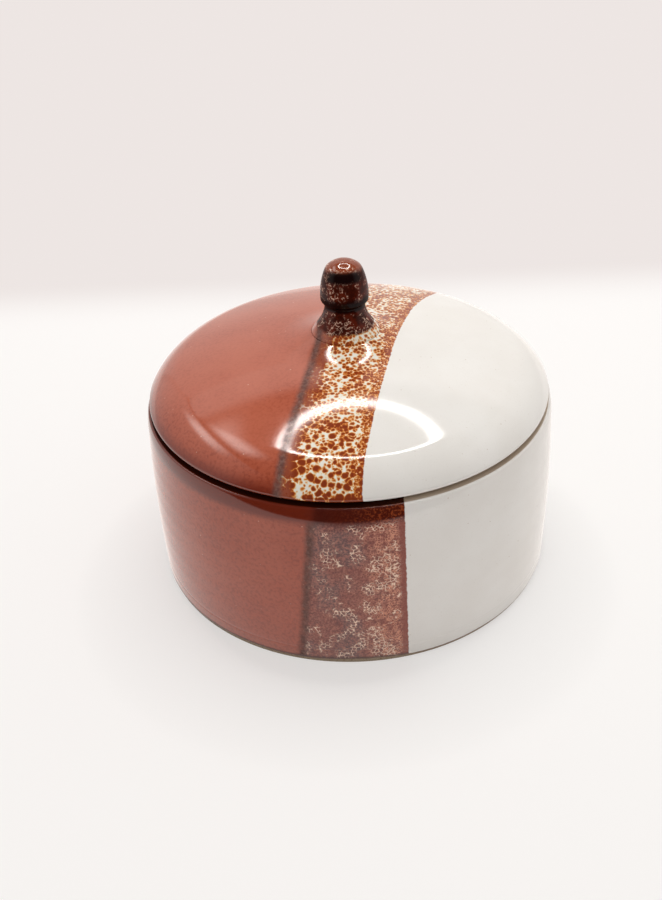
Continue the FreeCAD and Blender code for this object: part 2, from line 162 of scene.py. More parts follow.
# The painted dark reflection under the knob's crest lies in front of the next range
KNOB_DARK_REFLECTION_FRONT = (-7, -3)
RIM_OUTSIDE = (93.0, 93.4)
INSIDE_MIDDLE = (0, 1)
INSIDE_WALL = (91.0, 91.6)
LID_OUTSIDE = (86.2, 86.4)
LID_UNDER_LIP = (85.4, 86.4)
LID_SEAT_OUTSIDE = (80, 81)

# Glaze and clay colours
RED = (0.37, 0.068, 0.030, 1)
# A lighter red, laid in clouds and towards the top of the lid
RED_LIGHTER = (0.48, 0.125, 0.070, 1)
# A darker red, for random mottling and as painted shade on the lid's lower edge
RED_MOTTLE_AND_SHADE = (0.17, 0.018, 0.006, 1)
RED_PINHOLE = (0.66, 0.36, 0.26, 1)
WHITE = (0.82, 0.79, 0.75, 1)
WHITE_CLOUD = (0.85, 0.825, 0.79, 1)
WHITE_GRAIN = (0.60, 0.53, 0.46, 1)
WHITE_SPECK = (0.42, 0.30, 0.20, 1)
LINE = (0.115, 0.058, 0.050, 1)
LINE_GRAIN = (0.22, 0.125, 0.105, 1)
BREAK_BROWN = (0.36, 0.062, 0.012, 1)
BREAK_DARK = (0.24, 0.036, 0.008, 1)
BREAK_ORANGE = (0.70, 0.25, 0.045, 1)
BREAK_CREAM = (0.82, 0.63, 0.38, 1)
BREAK_WHITE = (0.84, 0.80, 0.72, 1)
BREAK_EDGE = (0.33, 0.085, 0.045, 1)
# Near black under the lid, on the rim and the lid's underside: partly their own dark colour, partly
# painted shade
RIM_DARK_AND_SHADE = (0.025, 0.005, 0.002, 1)
RIM_PALE = (0.50, 0.39, 0.29, 1)
POT_BAND = (0.195, 0.034, 0.022, 1)
POT_PATCH = (0.105, 0.058, 0.062, 1)
POT_GRAIN = (0.42, 0.14, 0.095, 1)
POT_GRAIN_DARK = (0.07, 0.015, 0.012, 1)
POT_RUST = (0.23, 0.032, 0.012, 1)
LACE = (0.92, 0.66, 0.50, 1)
LACE_ORANGE = (0.72, 0.30, 0.18, 1)
# Painted shade: the shoulder's dark band under the rim, a painted reflection of the dark room
SHOULDER_SHADE_RED = (0.15, 0.016, 0.005, 1)
SHOULDER_SHADE_BROWN = (0.075, 0.007, 0.002, 1)
SHOULDER_FLECK = (0.38, 0.075, 0.020, 1)
BEAD_BROWN = (0.06, 0.012, 0.006, 1)
KNOB_BROWN = (0.040, 0.005, 0.002, 1)
KNOB_RUST = (0.115, 0.013, 0.004, 1)
KNOB_CREST = (0.30, 0.065, 0.025, 1)
# Near black: painted reflection under the knob's crest in front, and painted shade in its neck
KNOB_SHADE_BLACK = (0.006, 0.001, 0.001, 1)
KNOB_FLECK = (0.86, 0.56, 0.42, 1)
CLAY = (0.45, 0.36, 0.27, 1)
CLAY_SHADE = (0.37, 0.28, 0.20, 1)
TOASTED_CLAY = (0.17, 0.075, 0.042, 1)


def at(radius, height):
    return Vector((radius * MM, 0, height * MM))


class Outline:
    """Half of a turned piece, drawn in one line from the axis and back to it, then spun about Z."""

    def __init__(self, radius, height):
        self.mesh = bmesh.new()
        self.tip = self.mesh.verts.new(at(radius, height))

    def line_to(self, radius, height, steps=1):
        step = (at(radius, height) - self.tip.co) / steps
        for _ in range(steps):
            place = self.tip.co + step
            self.tip = bmesh.ops.extrude_vert_indiv(self.mesh, verts=[self.tip])["verts"][0]
            self.tip.co = place

    def arc_to(self, centre, end, steps):
        """Goes the short way round the centre to the given point."""
        middle = at(*centre)
        start = self.tip.co - middle
        stop = at(*end) - middle
        across = start.z * stop.x - start.x * stop.z
        angle = math.atan2(across, start.x * stop.x + start.z * stop.z)
        made = bmesh.ops.spin(
            self.mesh, geom=[self.tip], cent=middle, axis=(0, 1, 0), angle=angle, steps=steps
        )
        self.tip = made["geom_last"][0]

    def ripple(self, steps, depth, pitch):
        """Cuts throwing rings into the clay along the last steps of the line."""
        self.mesh.verts.ensure_lookup_table()
        points = self.mesh.verts[-steps - 1 :]
        places = [point.co.copy() for point in points]
        length = 0
        for before, point, place, after in zip(places, points[1:], places[1:], places[2:]):
            length += (place - before).length / MM
            along = (after - before).normalized()
            fade = min(1, length / pitch, (places[-1] - place).length / MM / pitch)
            wave = math.sin(2 * math.pi * length / pitch + 0.7 * math.sin(length / pitch)) - 1
            point.co = place + Vector((along.z, 0, -along.x)) * (wave * fade * depth * MM)

    def turn(self, name):
        """Spins the outline into a closed piece with its faces outwards."""
        mesh = self.mesh
        bmesh.ops.spin(
            mesh,
            geom=mesh.verts[:] + mesh.edges[:],
            cent=(0, 0, 0),
            axis=(0, 0, 1),
            angle=2 * math.pi,
            steps=TURN_STEPS,
            use_merge=True,
        )
        bmesh.ops.remove_doubles(mesh, verts=mesh.verts[:], dist=1e-6)
        bmesh.ops.recalc_face_normals(mesh, faces=mesh.faces[:])
        data = bpy.data.meshes.new(name)
        mesh.to_mesh(data)
        mesh.free()
        data.shade_smooth()
        piece = bpy.data.objects.new(name, data)
        bpy.context.scene.collection.objects.link(piece)
        return piece


def toward(start, target, distance):
    return start + (target - start).normalized() * distance


def on_circle(centre, radius, height):
    """The point of a circle at a height, on the side away from the axis."""
    return Vector((centre.x + math.sqrt(radius**2 - (height - centre.y) ** 2), height))


def bow_centre(first, last, radius):
    """The centre, to the left of the way from first to last, of the arc through both."""
    chord = last - first
    sink = math.sqrt(radius**2 - chord.length**2 / 4)
    return (first + last) / 2 + Vector((-chord.y, chord.x)).normalized() * sink


def smooth_centre(start, target, last):
    """The centre, on the way from start to target, of the arc from start to last."""
    inward = (target - start).normalized()
    chord = last - start
    return start + inward * (chord.length**2 / (2 * chord.dot(inward)))


def circle_meet(centre_a, radius_a, centre_b, radius_b):
    """The point to the right of the line of centres where two circles meet."""
    apart = centre_b - centre_a
    along = (radius_a**2 - radius_b**2 + apart.length**2) / (2 * apart.length)
    aside = math.sqrt(radius_a**2 - along**2)
    unit = apart.normalized()
    return centre_a + unit * along + Vector((unit.y, -unit.x)) * aside


def line_meet(start, along, centre, radius, leaving):
    """Where a line enters a circle, or leaves it."""
    offset = start - centre
    back = offset.dot(along)
    reach = math.sqrt(back**2 - offset.length**2 + radius**2)
    return start + along * ((reach if leaving else -reach) - back)


def glaze_line(turn):
    """The height at which the glaze ends over the foot, higher where it lies double in front."""
    front = math.exp(45 * (math.cos(turn + math.pi / 2 - 0.05) - 1))
    waves = 0.30 * math.sin(3 * turn + 1) + 0.14 * math.sin(11 * turn)
    return GLAZE_END + GLAZE_END_RISE * front + waves


def swell(height, middle, width):
    """Is 1 at the middle height and dies away above and below it."""
    return math.exp(-(((height - middle) / width) ** 2))


def lay_foot_glaze(piece):
    """Cuts the bare clay back under the glaze's end and marks how far each point lies above it."""
    above = piece.data.attributes.new("above_bare_clay", "FLOAT", "POINT")
    for vertex, mark in zip(piece.data.vertices, above.data):
        x, y, height = vertex.co / MM
        radius = math.hypot(x, y)
        if radius > WALL_RADIUS - 1 and 0.2 < height < 20:
            mark.value = height - glaze_line(math.atan2(y, x))
            bead = GLAZE_BEAD * swell(mark.value, 0.35, 0.45)
            cut = CLAY_CUT * min(1, max(0, 0.5 - mark.value / 0.5))
            groove = TURNED_GROOVE * swell(height, TURNED_GROOVE_HEIGHT, 0.4)
            shrink = 1 + (bead - cut - groove) / radius
            vertex.co = (vertex.co.x * shrink, vertex.co.y * shrink, vertex.co.z)
        else:
            mark.value = DEEP_IN_GLAZE if height > 4 else DEEP_IN_CLAY


def make_pot():
    wall_foot = Vector((WALL_RADIUS + WALL_FLARE, BEVEL_HEIGHT))
    wall_top = Vector((WALL_RADIUS, RIM_HEIGHT - SHOULDER_LENGTH))
    foot_outside = wall_foot.x - BEVEL_WIDTH
    foot_inside = foot_outside - FOOT_WIDTH
    floor_height = RECESS_DEPTH + FLOOR_THICKNESS
    bow = bow_centre(wall_foot, wall_top, WALL_BOW)
    shoulder = smooth_centre(wall_top, bow, Vector((RIM_RADIUS, RIM_HEIGHT)))
    shoulder_round = (wall_top - shoulder).length
    rim_edge = on_circle(shoulder, shoulder_round - RIM_EDGE, RIM_HEIGHT - RIM_EDGE)
    cavity_round = WALL_BOW - WALL_THICKNESS
    cavity_top = on_circle(bow, cavity_round, wall_top.y)
    inner = smooth_centre(cavity_top, bow, Vector((MOUTH_RADIUS, RIM_HEIGHT)))
    inner_round = (cavity_top - inner).length
    mouth_edge = on_circle(inner, inner_round + MOUTH_EDGE, RIM_HEIGHT - MOUTH_EDGE)
    corner = on_circle(bow, cavity_round - FLOOR_CORNER, floor_height + FLOOR_CORNER)

    pot = Outline(0, RECESS_DEPTH)
    pot.line_to(foot_inside, RECESS_DEPTH, 40)
    pot.line_to(foot_inside, FOOT_EDGE, 2)
    foot_edge = Vector((foot_inside + FOOT_EDGE, FOOT_EDGE))
    pot.arc_to(foot_edge, (foot_edge.x, 0), 4)
    pot.line_to(foot_outside, 0, 6)
    pot.line_to(*wall_foot, 5)
    pot.arc_to(bow, on_circle(bow, WALL_BOW, FINE_STEPS_HEIGHT), 30)
    pot.arc_to(bow, wall_top, 84)
    pot.ripple(84, depth=0.02, pitch=9.0)
    pot.arc_to(shoulder, toward(shoulder, rim_edge, shoulder_round), 10)
    pot.arc_to(rim_edge, (rim_edge.x, RIM_HEIGHT), 6)
    pot.line_to(mouth_edge.x, RIM_HEIGHT, 6)
    pot.arc_to(mouth_edge, toward(inner, mouth_edge, inner_round), 5)
    pot.arc_to(inner, cavity_top, 6)
    pot.arc_to(bow, toward(bow, corner, cavity_round), 76)
    pot.ripple(76, depth=0.22, pitch=7.0)
    pot.arc_to(corner, (corner.x, floor_height), 14)
    pot.line_to(0, floor_height, 80)
    pot.ripple(80, depth=0.25, pitch=9.0)
    piece = pot.turn("thrown_pot")
    lay_foot_glaze(piece)
    return piece


def make_lid():
    crown = Vector((0, APEX - CROWN_ROUND))
    shoulder = Vector((LID_RADIUS - LID_SHOULDER, RIM_HEIGHT + LID_EDGE_HEIGHT))
    inward = (crown - CROWN_EDGE).normalized()
    offset = CROWN_EDGE - shoulder
    slack = offset.dot(inward) + LID_SHOULDER
    haunch_round = (LID_SHOULDER**2 - offset.length**2) / (2 * slack)
    haunch = toward(CROWN_EDGE, crown, haunch_round)
    boss = Vector((BOSS_RADIUS, BOSS_TOP))
    sweep = circle_meet(crown, CROWN_ROUND + BOSS_SWEEP, boss, BOSS_SWEEP)
    boss_foot = BOSS_RADIUS + BOSS_BEVEL
    boss_drop = math.sqrt(BOSS_SWEEP**2 - (sweep.x - boss_foot) ** 2)
    ring_outside = MOUTH_RADIUS - RING_CLEARANCE
    ring_inside = ring_outside - RING_THICKNESS
    ring_foot = RIM_HEIGHT - RING_DEPTH
    seat_edge = Vector((ring_outside + SEAT_WIDTH, RIM_HEIGHT))
    edge = shoulder + Vector((LID_SHOULDER - LID_EDGE, 0))
    reach = edge - seat_edge
    slope = math.atan2(reach.y, reach.x) - math.asin(LID_EDGE / reach.length)
    edge_end = edge + Vector((math.sin(slope), -math.cos(slope))) * LID_EDGE
    inner_haunch = haunch_round - LID_THICKNESS
    root_height = haunch.y + math.sqrt(inner_haunch**2 - (ring_inside - haunch.x) ** 2)
    root = Vector((ring_inside - RING_ROOT_REACH, root_height + RING_ROOT_RISE))
    outer_round = Vector((ring_outside - RING_EDGE, ring_foot + RING_EDGE))
    inner_round = Vector((ring_inside + RING_EDGE, ring_foot + RING_EDGE))

    lid = Outline(0, BOSS_TOP)
    lid.line_to(BOSS_RADIUS - BOSS_BEVEL, BOSS_TOP, 12)
    lid.line_to(boss_foot, sweep.y - boss_drop)
    lid.arc_to(sweep, toward(crown, sweep, CROWN_ROUND), 20)
    lid.arc_to(crown, CROWN_EDGE, 42)
    lid.arc_to(haunch, toward(haunch, shoulder, haunch_round), 24)
    lid.arc_to(shoulder, shoulder + Vector((LID_SHOULDER, 0)), 8)
    lid.arc_to(edge, edge_end, 8)
    lid.line_to(*seat_edge, 4)
    lid.line_to(ring_outside, RIM_HEIGHT, 4)
    lid.line_to(ring_outside, outer_round.y, 6)
    lid.arc_to(outer_round, (outer_round.x, ring_foot), 6)
    lid.line_to(inner_round.x, ring_foot, 2)
    lid.arc_to(inner_round, (ring_inside, inner_round.y), 6)
    lid.line_to(ring_inside, root_height - RING_ROOT, 10)
    lid.line_to(*root, 3)
    lid.arc_to(haunch, toward(crown, CROWN_EDGE, CROWN_ROUND - LID_THICKNESS), 14)
    lid.arc_to(crown, (0, APEX - LID_THICKNESS), 72)
    lid.ripple(72, depth=0.18, pitch=8.5)
    return lid.turn("thrown_lid")


def make_knob():
    lip = Vector((COLLAR_RADIUS - COLLAR_LIP, BOSS_TOP + COLLAR_LIP))
    neck = Vector((NECK_RADIUS, BOSS_TOP + NECK_HEIGHT))
    flare = lip.x - neck.x
    climb = neck.y - lip.y
    hollow_round = (flare**2 + climb**2 - COLLAR_LIP**2) / (2 * (flare + COLLAR_LIP))
    hollow = neck + Vector((hollow_round, 0))
    bell_foot = neck + Vector((BELL_OVERHANG, GROOVE_HEIGHT))
    crest = Vector((CREST_RADIUS, bell_foot.y + BELL_LENGTH))
    bulge = bow_centre(bell_foot, crest, BELL_BULGE)
    top = crest.y + CREST_RISE
    cap_round = (CREST_RADIUS**2 + CREST_RISE**2) / (2 * CREST_RISE)
    cap = Vector((0, top - cap_round))

    # The rounds: in the groove, at the bell's foot and at its crest
    along = (bell_foot - neck).normalized()
    outward = Vector((along.y, -along.x))
    groove_side = neck + outward * GROOVE_ROUND
    groove = line_meet(groove_side, along, hollow, hollow_round - GROOVE_ROUND, leaving=False)
    lip_side = neck - outward * BELL_LIP
    bell_lip = line_meet(lip_side, along, bulge, BELL_BULGE - BELL_LIP, leaving=True)
    crest_edge = circle_meet(cap, cap_round - CREST_EDGE, bulge, BELL_BULGE - CREST_EDGE)

    # The slip that lutes the collar to the boss draws its foot out
    slip = Vector((COLLAR_RADIUS + SLIP_WIDTH, BOSS_TOP))
    aside = math.sqrt((slip - hollow).length_squared - hollow_round**2)
    slip_end = circle_meet(hollow, hollow_round, slip, aside)

    knob = Outline(0, BOSS_TOP)
    knob.line_to(*slip, 12)
    knob.line_to(*slip_end, 8)
    knob.arc_to(hollow, toward(hollow, groove, hollow_round), 16)
    knob.arc_to(groove, groove - outward * GROOVE_ROUND, 5)
    knob.line_to(*(bell_lip + outward * BELL_LIP), 2)
    knob.arc_to(bell_lip, toward(bulge, bell_lip, BELL_BULGE), 6)
    knob.arc_to(bulge, toward(bulge, crest_edge, BELL_BULGE), 26)
    knob.arc_to(crest_edge, toward(cap, crest_edge, cap_round), 8)
    knob.arc_to(cap, (0, top), 12)
    return knob.turn("thrown_knob")


class Socket:
    """A value in a material: arithmetic on it adds Math nodes."""

    def __init__(self, shader, output):
        self.shader = shader
        self.output = output

    def _math(self, operation, *values):
        settings = {"operation": operation}
        return self.shader.node("ShaderNodeMath", settings, dict(enumerate(values)))

    def __add__(self, other):
        return self._math("ADD", self, other)

    def __radd__(self, other):
        return self._math("ADD", other, self)

    def __sub__(self, other):
        return self._math("SUBTRACT", self, other)

    def __rsub__(self, other):
        return self._math("SUBTRACT", other, self)

    def __mul__(self, other):
        return self._math("MULTIPLY", self, other)

    def __pow__(self, other):
        return self._math("POWER", self, other)

    def __abs__(self):
        return self._math("ABSOLUTE", self)

    def sibling(self, name):
        """Another output of the same node."""
        return Socket(self.shader, self.output.node.outputs[name])

    def over(self, other):
        return self._math("MAXIMUM", self, other)

    def under(self, other):
        return self._math("MINIMUM", self, other)

    def rise(self, low, high):
        """Goes smoothly from 0 at low to 1 at high."""
        return self.shader.node(
            "ShaderNodeMapRange",
            {"interpolation_type": "SMOOTHSTEP"},
            {"Value": self, "From Min": low, "From Max": high},
        )

    def fall(self, low, high):
        return 1 - self.rise(low, high)


class Shader:
    """The nodes of one material, or of the world."""

    def __init__(self, owner):
        owner.use_nodes = True
        self.tree = owner.node_tree
        self.tree.nodes.clear()

    def node(self, kind, settings=None, sockets=None, output=0):
        """Adds a node, fills its settings and its sockets in turn, and gives one of its outputs."""
        made = self.tree.nodes.new(kind)
        for name, value in (settings or {}).items():
            if name == "stops":
                self._set_stops(made.color_ramp, value)
            else:
                setattr(made, name, value)
        for name, value in (sockets or {}).items():
            socket = made.inputs[name]
            if isinstance(value, Socket):
                self.tree.links.new(value.output, socket)
            else:
                socket.default_value = value
        return Socket(self, made.outputs[output]) if made.outputs else None

    def _set_stops(self, ramp, stops):
        while len(ramp.elements) < len(stops):
            ramp.elements.new(1)
        for element, (position, colour) in zip(ramp.elements, stops):
            element.position = position
            element.color = colour

    def mix(self, factor, first, second):
        """A colour between two, with the second where factor is 1."""
        return self.node(
            "ShaderNodeMix", {"data_type": "RGBA"}, {0: factor, 6: first, 7: second}, output=2
        )

    def vector(self, operation, *values, output=0):
        settings = {"operation": operation}
        return self.node("ShaderNodeVectorMath", settings, dict(enumerate(values)), output)

    def axes(self, where, names):
        return (self.node("ShaderNodeSeparateXYZ", None, {"Vector": where}, name) for name in names)

    def noise(self, where, size, detail=2.0, roughness=0.5):
        """Clouds about size millimetres across, from 0 to 1 and mostly near 0.5."""
        sockets = {"Vector": where, "Scale": 1 / size, "Detail": detail, "Roughness": roughness}
        return self.node("ShaderNodeTexNoise", None, sockets)

    def cells(self, where, size, feature="F1"):
        """Millimetres to the middle, or to the edge, of cells about size millimetres across."""
        sockets = {"Vector": where, "Scale": 1 / size, "Randomness": 0.85}
        return self.node("ShaderNodeTexVoronoi", {"feature": feature}, sockets) * size

    def spots(self, where, size, least, most):
        """How far a point lies outside the nearest of many round spots, in millimetres."""
        sockets = {"Vector": where, "Scale": 1 / size, "Randomness": 0.85}
        middle = self.node("ShaderNodeTexVoronoi", None, sockets)
        chance = self.node("ShaderNodeSeparateColor", None, {"Color": middle.sibling("Color")})
        return middle * size - (chance * (most - least) + least)

    def blobs(self, where, size, radius, gap):
        """The same for round spots packed close, with a gap always left between them."""
        between = gap - self.cells(where, size, "DISTANCE_TO_EDGE")
        return self.spots(where, size, radius * 0.65, radius * 1.15).over(between)

    def warped(self, where, reach):
        """Pushes points about by up to reach millimetres, so that round cells come out uneven."""
        sockets = {"Vector": where, "Scale": 0.3, "Detail": 1.0}
        bend = self.node("ShaderNodeTexNoise", None, sockets, "Color")
        return self.vector("MULTIPLY_ADD", bend, (reach, reach, reach), where)

    def emission(self, colour, strength=1.0):
        return self.node("ShaderNodeEmission", None, {"Color": colour, "Strength": strength})

    def blend(self, factor, first, second):
        """A shader between two, with the second where factor is 1."""
        return self.node("ShaderNodeMixShader", None, {0: factor, 1: first, 2: second})

    def by_ray(self, plain, seen, mirrored):
        """Shows one shader to the camera, one to the glaze's mirror and one to all else."""
        path = self.node("ShaderNodeLightPath", output="Is Camera Ray")
        return self.blend(path.sibling("Is Glossy Ray"), self.blend(path, plain, seen), mirrored)

    def finish(self, surface, kind="ShaderNodeOutputMaterial"):
        """Joins a shader to the render."""
        self.node(kind, None, {"Surface": surface})

    def glazed(self, skin):
        """The shader of a skin, with its clear gloss as a coat."""
        relief = {"Height": skin.height * MM, "Distance": 1.0, "Strength": 1.0}
        sockets = {
            "Base Color": skin.colour,
            "Roughness": skin.roughness,
            "Coat Weight": skin.gloss,
            "Normal": self.node("ShaderNodeBump", None, relief),
            "Specular IOR Level": 0.0,
            "Coat Roughness": 0.09,
            "Coat IOR": 1.5,
        }
        return self.node("ShaderNodeBsdfPrincipled", None, sockets)


def new_material(name, make):
    """A material with the shader that make builds from nodes."""
    material = bpy.data.materials.new(name)
    shader = Shader(material)
    shader.finish(make(shader))
    return material


# What one finish gives: its colour, its roughness, how much clear gloss lies on it, and its relief
# in millimetres
Skin = namedtuple("Skin", "colour roughness gloss height")


def lay(shader, mask, under, over):
    """The skin over laid on the skin under, where mask is 1."""

    def between(low, high):
        return low + mask * (high - low)

    return Skin(
        shader.mix(mask, under.colour, over.colour),
        between(under.roughness, over.roughness),
        between(under.gloss, over.gloss),
        between(under.height, over.height),
    )


class Place:
    """Where a point of the piece lies, in millimetres."""

    def __init__(self, shader):
        self.shader = shader
        coordinates = shader.node("ShaderNodeTexCoord", output="Object")
        self.point = shader.vector("MULTIPLY", coordinates, (1 / MM, 1 / MM, 1 / MM))
        self.x, self.y, self.z = shader.axes(self.point, "XYZ")
        flat = shader.vector("MULTIPLY", self.point, (1, 1, 0))
        self.radius = shader.vector("LENGTH", flat, output=1)

    def past(self, edge):
        """How far past the edge of a glaze the point lies, towards the white side."""
        across = self.x * math.cos(edge.turn) + self.y * math.sin(edge.turn)
        bow = (self.y - 15).over(0) ** 2 * edge.bow
        return across - edge.offset - (self.z - edge.height) * edge.lean - bow


def red_glaze(shader, place):
    cloud = shader.noise(place.point, 30, detail=3)
    mottle = shader.noise(place.point, 1.4, detail=2)
    # Lighter red in clouds and towards the top of the lid
    lighter_red = cloud.rise(0.25, 0.75) * 0.4 + place.z.rise(*RED_LIGHTER_RISE) * 0.6
    colour = shader.mix(lighter_red, RED, RED_LIGHTER)
    colour = shader.mix(mottle.rise(0.42, 0.7) * 0.4 * (1.2 - lighter_red), colour, RED_MOTTLE_AND_SHADE)
    pinhole = shader.spots(place.point, 6.0, 0.16, 0.30).fall(0.0, 0.14)
    colour = shader.mix(pinhole * 0.6, colour, RED_PINHOLE)
    # Painted shade: the red is painted dark over the lid's lower edge
    lip = place.z.fall(*LID_LIP_SHADE_TOP) * place.z.rise(*LID_LIP_SHADE_FOOT)
    colour = shader.mix(lip * 0.9, colour, RED_MOTTLE_AND_SHADE)
    return Skin(colour, 0.5, 1.0, mottle * 0.016 - pinhole * 0.03)


def white_glaze(shader, place):
    cloud = shader.noise(place.point, 24, detail=3)
    grain = shader.noise(place.point, 0.9, detail=2)
    colour = shader.mix(cloud.rise(0.3, 0.7), WHITE, WHITE_CLOUD)
    colour = shader.mix(grain.rise(0.6, 0.8) * 0.2, colour, WHITE_GRAIN)
    speck = shader.spots(place.point, 5.0, 0.10, 0.22).fall(0.0, 0.12)
    colour = shader.mix(speck * 0.5, colour, WHITE_SPECK)
    return Skin(colour, 0.5, 0.8, grain * 0.02 - speck * 0.03)


def edge_line(shader, place):
    """The dull grey line where the white glaze ends under the red."""
    grain = shader.noise(place.point, 1.3, detail=4, roughness=0.7)
    colour = shader.mix(grain.rise(0.36, 0.70), LINE, LINE_GRAIN)
    return Skin(colour, 0.6, 0.15, grain * 0.03)


def lid_break(shader, place):
    """The overlap on the lid: round brown spots with orange halos, in a cream net."""
    drift = shader.noise(place.point, 11, detail=2)
    patch = shader.noise(place.point, 7, detail=1.5)
    past_line = place.past(LID_RED_EDGE)
    before_white = 0 - place.past(LID_WHITE_EDGE)
    front = place.y.fall(*LID_FRONT_SPOTS)
    where = shader.warped(place.point, 1.6)
    crowded = (before_white + (patch - 0.5) * 5).fall(2.5, 7.0)
    bare = past_line.fall(2.5, 12.0) + (patch - 0.5) * 0.9 - front * 0.22
    lip = place.z.fall(*LID_SPOTS_FALL)
    grow = (drift - 0.53) * 1.7 + crowded * 0.1 + bare.over(0) * 0.75 + lip * 0.5
    big = shader.blobs(where, 3.0, 1.45, 0.24) + (1 - front) * 1.6 - grow
    small = shader.blobs(where, 1.75, 0.84, 0.12) + front * 0.25 - grow * 0.6
    fine = shader.spots(where, 0.95, 0.28, 0.56) + (1 - crowded) * 1.0 - grow * 0.15
    brown = big.under(small).under(fine).fall(-0.36, 0.60)
    flame = shader.spots(where, 1.2, 0.25, 0.55).fall(-0.2, 0.2)
    flame = flame * crowded.over(bare.over(0).under(1))
    brown = brown - flame * shader.noise(place.point, 2.0).rise(0.4, 0.6) * 0.5
    stops = [
        (0.0, BREAK_WHITE),
        (0.14, BREAK_CREAM),
        (0.42, BREAK_ORANGE),
        (0.78, BREAK_BROWN),
        (1.0, BREAK_DARK),
    ]
    colour = shader.node("ShaderNodeValToRGB", {"stops": stops}, {"Fac": brown})
    fleck = shader.spots(place.point, 1.3, 0.12, 0.40).fall(-0.1, 0.2)
    colour = shader.mix(bare.rise(0.4, 1.0) * (1 - fleck * 0.7) * 0.85, colour, BREAK_EDGE)
    return Skin(colour, 0.5, 1.0, brown * -0.05)


def pot_break(shader, place):
    """The overlap on the pot: brown with grey clouds, and a broken lace of cream threads."""
    cloud = shader.noise(place.point, 14, detail=1.5)
    grain = shader.noise(place.point, 1.0, detail=3, roughness=0.65)
    before_white = 0 - place.past(POT_WHITE_EDGE)
    right = before_white.fall(8, 22)
    base = shader.mix(right * 0.85, POT_BAND, POT_RUST)
    colour = shader.mix(cloud.rise(0.42, 0.62) * (1 - right * 0.7) * 0.75, base, POT_PATCH)
    colour = shader.mix(grain.rise(0.46, 0.62) * 0.62, colour, POT_GRAIN)
    colour = shader.mix(grain.fall(0.36, 0.50) * 0.45, colour, POT_GRAIN_DARK)
    patch = shader.noise(place.point, 7, detail=3, roughness=0.6)
    where = shader.warped(place.point, 1.2)
    cluster = (patch + right * 0.03).rise(0.46, 0.60)
    bold = shader.cells(where, 1.7, "DISTANCE_TO_EDGE").fall(0.05, 0.22) * cluster
    bold = bold * shader.noise(place.point, 1.5).rise(0.30, 0.55)
    fine = shader.cells(where, 1.05, "DISTANCE_TO_EDGE").fall(0.0, 0.20) * (right * 0.75 + 0.2)
    fine = fine * shader.noise(place.point, 2.2).rise(0.38, 0.56)
    margin = before_white.fall(1.5, 3.6)
    lace = bold.over(fine) * (1 - margin * 0.8) * place.z.fall(*LACE_FALL)
    colour = shader.mix(lace, colour, shader.mix(bold.rise(0.3, 0.6), LACE_ORANGE, LACE))
    colour = shader.mix(margin * 0.7, colour, POT_RUST)
    return Skin(colour, 0.5, 1.0, lace * 0.04 + grain * 0.012)


def knob_glaze(shader, place):
    """Brown with rust clouds and pale flecks, with a painted dark reflection under the crest in
    front and painted shade at the neck, both near black.
    """
    patch = shader.noise(place.point, 5, detail=3, roughness=0.6)
    where = shader.warped(place.point, 1.0)
    # Painted reflection: near black under the crest in front, where the glaze mirrors the dark room
    dark_reflection = place.z.rise(*KNOB_DARK_REFLECTION_RISE) * place.z.fall(*KNOB_DARK_REFLECTION_FALL)
    dark_reflection = dark_reflection * place.y.fall(*KNOB_DARK_REFLECTION_FRONT)
    # Painted shade: near black in the neck and groove under the bell
    neck = place.z.rise(*KNOB_NECK_SHADE_RISE) * place.z.fall(*KNOB_NECK_SHADE_FALL)
    crest = place.z.rise(*KNOB_CREST_RISE)
    rust = patch.rise(0.40, 0.66) * (1 - dark_reflection)
    colour = shader.mix(rust, KNOB_BROWN, KNOB_RUST)
    colour = shader.mix(crest * 0.8, colour, KNOB_CREST)
    colour = shader.mix(dark_reflection.over(neck) * 0.95, colour, KNOB_SHADE_BLACK)
    bell = (patch - place.x * 0.006).rise(0.46, 0.62) * (1 - dark_reflection)
    bell = bell * place.z.rise(*KNOB_FLECKS_RISE)
    collar = place.z.fall(*KNOB_FLECKS_FALL) * shader.noise(place.point, 4).rise(0.46, 0.62)
    fleck = shader.cells(where, 1.15, "DISTANCE_TO_EDGE").fall(0.02, 0.2) * bell.over(collar)
    fleck = fleck * shader.noise(place.point, 1.1).rise(0.45, 0.62)
    colour = shader.mix(fleck * 0.95, colour, KNOB_FLECK)
    return Skin(colour, 0.5, crest * 0.65 + 0.3, fleck * 0.03)


def bare_clay(shader, place):
    """Fired clay with fine grain and a few toasted specks of grog."""
    grain = shader.noise(place.point, 0.7, detail=4, roughness=0.7)
    grog = shader.spots(place.point, 2.6, 0.2, 0.45).fall(0.0, 0.2)
    colour = shader.mix(grain.rise(0.3, 0.7), CLAY, CLAY_SHADE)
    colour = shader.mix(grog * 0.5, colour, TOASTED_CLAY)
    return Skin(colour, 0.85, 0.0, grain * 0.08)


def tinted(shader, skin, amount, colour, gloss=1.0):
    """A skin with its colour, and maybe its gloss, taken towards another."""
    tint = Skin(colour, skin.roughness, gloss, skin.height)
    return lay(shader, amount, skin, tint)


def banded(shader, place, overlap, red_edge, white_edge):
    """Red, the grey line, the overlap and white, one after the other across a piece."""
    ragged = (shader.noise(place.point, 2.0, detail=3) - 0.5) * 1.1
    wave = (shader.noise(place.point, 26, detail=1) - 0.5) * 2.0
    past_line = place.past(red_edge) + wave * 0.6
    past_white = place.past(white_edge) + ragged
    skin = lay(shader, (past_line + ragged).rise(-0.6, 1.2), red_glaze(shader, place), overlap)
    blotch = shader.noise(place.point, 3.5, detail=2).rise(0.25, 0.6)
    line = abs(past_line + ragged * 0.9).fall(0.3, 3.2) * (blotch * 0.35 + 0.6)
    skin = lay(shader, line, skin, edge_line(shader, place))
    return lay(shader, past_white.rise(-0.15, 0.25), skin, white_glaze(shader, place))


